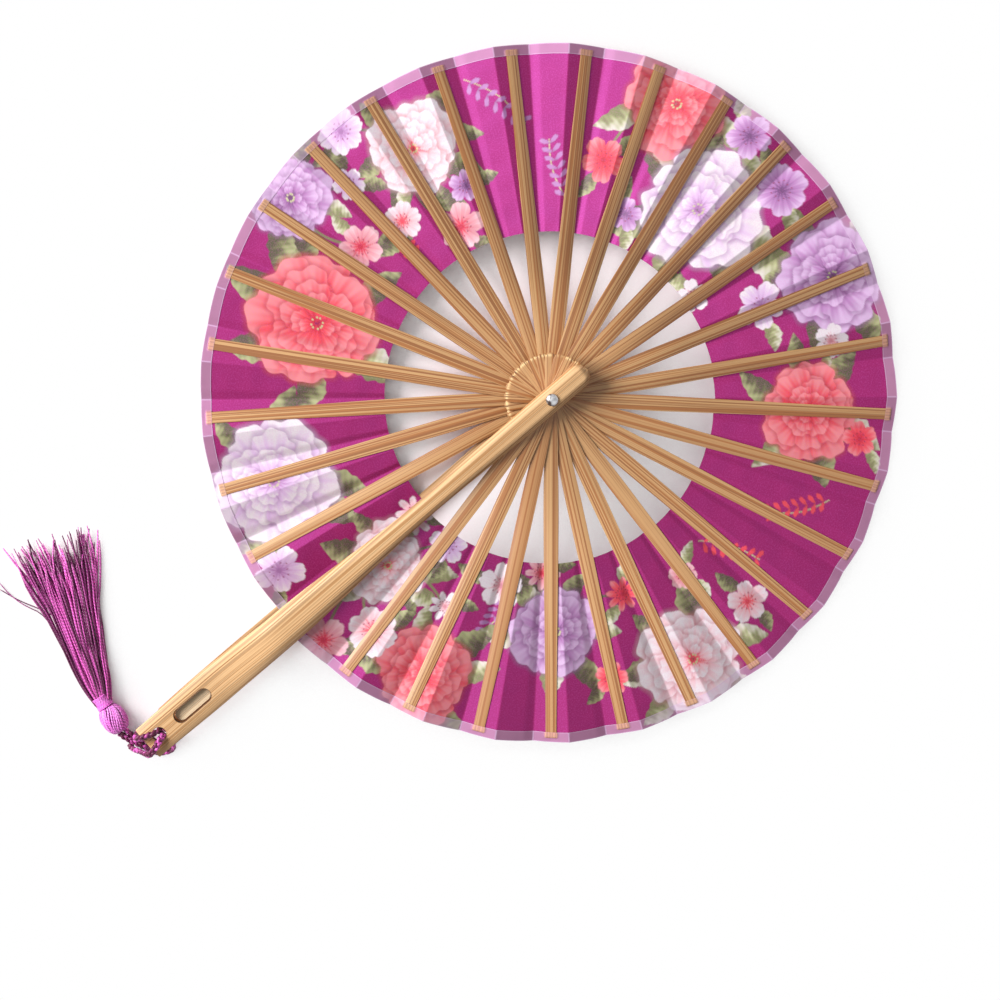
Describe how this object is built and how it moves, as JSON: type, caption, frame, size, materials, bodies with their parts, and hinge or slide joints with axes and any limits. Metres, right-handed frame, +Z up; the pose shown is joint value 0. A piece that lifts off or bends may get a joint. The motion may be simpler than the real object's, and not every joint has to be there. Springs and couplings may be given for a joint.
{
  "type": "round folding fan",
  "caption": "Full-circle folding fan: bamboo ribs and two guards on one rivet, a pleated printed cloth leaf, and a tassel on the handle.",
  "frame": {"origin": "centre of the flat foot of the rivet, on the surface that the fan lies on", "axes": "+Z up along the rivet, towards its head; the handle points along -Y; the open wheel lies in XY"},
  "size_m": [0.2406, 0.3144, 0.0252],
  "materials": {
    "rib_bamboo": "split bamboo, fine straight grain, satin",
    "guard_bamboo": "shaved and waxed bamboo, long grain, soft gloss",
    "key_bamboo": "raw pale bamboo, matte",
    "rivet_steel": "bright nickelled steel, domed head",
    "leaf_cloth": "thin magenta silk-like cloth with printed blossoms, pleated",
    "edge_tape": "sheer pale edging tape",
    "tassel_cord": "braided plum cord",
    "tassel_yarn": "shiny plum rayon yarn"
  },
  "bodies": {
    "back_guard": {"back_guard": "guard_bamboo", "rivet": "rivet_steel", "lock_key": "key_bamboo", "leaf": "leaf_cloth", "edge_tape": "edge_tape"},
    "rib_01": {"rib_01": "rib_bamboo"},
    "rib_02": {"rib_02": "rib_bamboo"},
    "rib_03": {"rib_03": "rib_bamboo"},
    "rib_04": {"rib_04": "rib_bamboo"},
    "rib_05": {"rib_05": "rib_bamboo"},
    "rib_06": {"rib_06": "rib_bamboo"},
    "rib_07": {"rib_07": "rib_bamboo"},
    "rib_08": {"rib_08": "rib_bamboo"},
    "rib_09": {"rib_09": "rib_bamboo"},
    "rib_10": {"rib_10": "rib_bamboo"},
    "rib_11": {"rib_11": "rib_bamboo"},
    "rib_12": {"rib_12": "rib_bamboo"},
    "rib_13": {"rib_13": "rib_bamboo"},
    "rib_14": {"rib_14": "rib_bamboo"},
    "rib_15": {"rib_15": "rib_bamboo"},
    "rib_16": {"rib_16": "rib_bamboo"},
    "rib_17": {"rib_17": "rib_bamboo"},
    "rib_18": {"rib_18": "rib_bamboo"},
    "rib_19": {"rib_19": "rib_bamboo"},
    "rib_20": {"rib_20": "rib_bamboo"},
    "rib_21": {"rib_21": "rib_bamboo"},
    "rib_22": {"rib_22": "rib_bamboo"},
    "rib_23": {"rib_23": "rib_bamboo"},
    "rib_24": {"rib_24": "rib_bamboo"},
    "rib_25": {"rib_25": "rib_bamboo"},
    "rib_26": {"rib_26": "rib_bamboo"},
    "rib_27": {"rib_27": "rib_bamboo"},
    "rib_28": {"rib_28": "rib_bamboo"},
    "front_guard": {"front_guard": "guard_bamboo", "tassel_cord": "tassel_cord", "tassel_head": "tassel_yarn", "tassel_binding": "tassel_yarn", "tassel_skirt": "tassel_yarn"}
  },
  "joints": [
    {"name": "fold_01", "type": "hinge", "parent": "back_guard", "child": "rib_01", "pos_m": [0, 0, 0], "axis": [0, 0, 1], "range_deg": [0, 12.41], "deforming": ["leaf", "edge_tape"]},
    {"name": "fold_02", "type": "hinge", "parent": "rib_01", "child": "rib_02", "pos_m": [0, 0, 0], "axis": [0, 0, 1], "range_deg": [0, 12.41]},
    {"name": "fold_03", "type": "hinge", "parent": "rib_02", "child": "rib_03", "pos_m": [0, 0, 0], "axis": [0, 0, 1], "range_deg": [0, 12.41]},
    {"name": "fold_04", "type": "hinge", "parent": "rib_03", "child": "rib_04", "pos_m": [0, 0, 0], "axis": [0, 0, 1], "range_deg": [0, 12.41]},
    {"name": "fold_05", "type": "hinge", "parent": "rib_04", "child": "rib_05", "pos_m": [0, 0, 0], "axis": [0, 0, 1], "range_deg": [0, 12.41]},
    {"name": "fold_06", "type": "hinge", "parent": "rib_05", "child": "rib_06", "pos_m": [0, 0, 0], "axis": [0, 0, 1], "range_deg": [0, 12.41]},
    {"name": "fold_07", "type": "hinge", "parent": "rib_06", "child": "rib_07", "pos_m": [0, 0, 0], "axis": [0, 0, 1], "range_deg": [0, 12.41]},
    {"name": "fold_08", "type": "hinge", "parent": "rib_07", "child": "rib_08", "pos_m": [0, 0, 0], "axis": [0, 0, 1], "range_deg": [0, 12.41]},
    {"name": "fold_09", "type": "hinge", "parent": "rib_08", "child": "rib_09", "pos_m": [0, 0, 0], "axis": [0, 0, 1], "range_deg": [0, 12.41]},
    {"name": "fold_10", "type": "hinge", "parent": "rib_09", "child": "rib_10", "pos_m": [0, 0, 0], "axis": [0, 0, 1], "range_deg": [0, 12.41]},
    {"name": "fold_11", "type": "hinge", "parent": "rib_10", "child": "rib_11", "pos_m": [0, 0, 0], "axis": [0, 0, 1], "range_deg": [0, 12.41]},
    {"name": "fold_12", "type": "hinge", "parent": "rib_11", "child": "rib_12", "pos_m": [0, 0, 0], "axis": [0, 0, 1], "range_deg": [0, 12.41]},
    {"name": "fold_13", "type": "hinge", "parent": "rib_12", "child": "rib_13", "pos_m": [0, 0, 0], "axis": [0, 0, 1], "range_deg": [0, 12.41]},
    {"name": "fold_14", "type": "hinge", "parent": "rib_13", "child": "rib_14", "pos_m": [0, 0, 0], "axis": [0, 0, 1], "range_deg": [0, 12.41]},
    {"name": "fold_15", "type": "hinge", "parent": "rib_14", "child": "rib_15", "pos_m": [0, 0, 0], "axis": [0, 0, 1], "range_deg": [0, 12.41]},
    {"name": "fold_16", "type": "hinge", "parent": "rib_15", "child": "rib_16", "pos_m": [0, 0, 0], "axis": [0, 0, 1], "range_deg": [0, 12.41]},
    {"name": "fold_17", "type": "hinge", "parent": "rib_16", "child": "rib_17", "pos_m": [0, 0, 0], "axis": [0, 0, 1], "range_deg": [0, 12.41]},
    {"name": "fold_18", "type": "hinge", "parent": "rib_17", "child": "rib_18", "pos_m": [0, 0, 0], "axis": [0, 0, 1], "range_deg": [0, 12.41]},
    {"name": "fold_19", "type": "hinge", "parent": "rib_18", "child": "rib_19", "pos_m": [0, 0, 0], "axis": [0, 0, 1], "range_deg": [0, 12.41]},
    {"name": "fold_20", "type": "hinge", "parent": "rib_19", "child": "rib_20", "pos_m": [0, 0, 0], "axis": [0, 0, 1], "range_deg": [0, 12.41]},
    {"name": "fold_21", "type": "hinge", "parent": "rib_20", "child": "rib_21", "pos_m": [0, 0, 0], "axis": [0, 0, 1], "range_deg": [0, 12.41]},
    {"name": "fold_22", "type": "hinge", "parent": "rib_21", "child": "rib_22", "pos_m": [0, 0, 0], "axis": [0, 0, 1], "range_deg": [0, 12.41]},
    {"name": "fold_23", "type": "hinge", "parent": "rib_22", "child": "rib_23", "pos_m": [0, 0, 0], "axis": [0, 0, 1], "range_deg": [0, 12.41]},
    {"name": "fold_24", "type": "hinge", "parent": "rib_23", "child": "rib_24", "pos_m": [0, 0, 0], "axis": [0, 0, 1], "range_deg": [0, 12.41]},
    {"name": "fold_25", "type": "hinge", "parent": "rib_24", "child": "rib_25", "pos_m": [0, 0, 0], "axis": [0, 0, 1], "range_deg": [0, 12.41]},
    {"name": "fold_26", "type": "hinge", "parent": "rib_25", "child": "rib_26", "pos_m": [0, 0, 0], "axis": [0, 0, 1], "range_deg": [0, 12.41]},
    {"name": "fold_27", "type": "hinge", "parent": "rib_26", "child": "rib_27", "pos_m": [0, 0, 0], "axis": [0, 0, 1], "range_deg": [0, 12.41]},
    {"name": "fold_28", "type": "hinge", "parent": "rib_27", "child": "rib_28", "pos_m": [0, 0, 0], "axis": [0, 0, 1], "range_deg": [0, 12.41]},
    {"name": "fold_29", "type": "hinge", "parent": "rib_28", "child": "front_guard", "pos_m": [0, 0, 0], "axis": [0, 0, 1], "range_deg": [0, 12.41]}
  ],
  "couplings": [
    {"joint": "fold_02", "follows": "fold_01", "ratio": 1},
    {"joint": "fold_03", "follows": "fold_01", "ratio": 1},
    {"joint": "fold_04", "follows": "fold_01", "ratio": 1},
    {"joint": "fold_05", "follows": "fold_01", "ratio": 1},
    {"joint": "fold_06", "follows": "fold_01", "ratio": 1},
    {"joint": "fold_07", "follows": "fold_01", "ratio": 1},
    {"joint": "fold_08", "follows": "fold_01", "ratio": 1},
    {"joint": "fold_09", "follows": "fold_01", "ratio": 1},
    {"joint": "fold_10", "follows": "fold_01", "ratio": 1},
    {"joint": "fold_11", "follows": "fold_01", "ratio": 1},
    {"joint": "fold_12", "follows": "fold_01", "ratio": 1},
    {"joint": "fold_13", "follows": "fold_01", "ratio": 1},
    {"joint": "fold_14", "follows": "fold_01", "ratio": 1},
    {"joint": "fold_15", "follows": "fold_01", "ratio": 1},
    {"joint": "fold_16", "follows": "fold_01", "ratio": 1},
    {"joint": "fold_17", "follows": "fold_01", "ratio": 1},
    {"joint": "fold_18", "follows": "fold_01", "ratio": 1},
    {"joint": "fold_19", "follows": "fold_01", "ratio": 1},
    {"joint": "fold_20", "follows": "fold_01", "ratio": 1},
    {"joint": "fold_21", "follows": "fold_01", "ratio": 1},
    {"joint": "fold_22", "follows": "fold_01", "ratio": 1},
    {"joint": "fold_23", "follows": "fold_01", "ratio": 1},
    {"joint": "fold_24", "follows": "fold_01", "ratio": 1},
    {"joint": "fold_25", "follows": "fold_01", "ratio": 1},
    {"joint": "fold_26", "follows": "fold_01", "ratio": 1},
    {"joint": "fold_27", "follows": "fold_01", "ratio": 1},
    {"joint": "fold_28", "follows": "fold_01", "ratio": 1},
    {"joint": "fold_29", "follows": "fold_01", "ratio": 1}
  ]
}
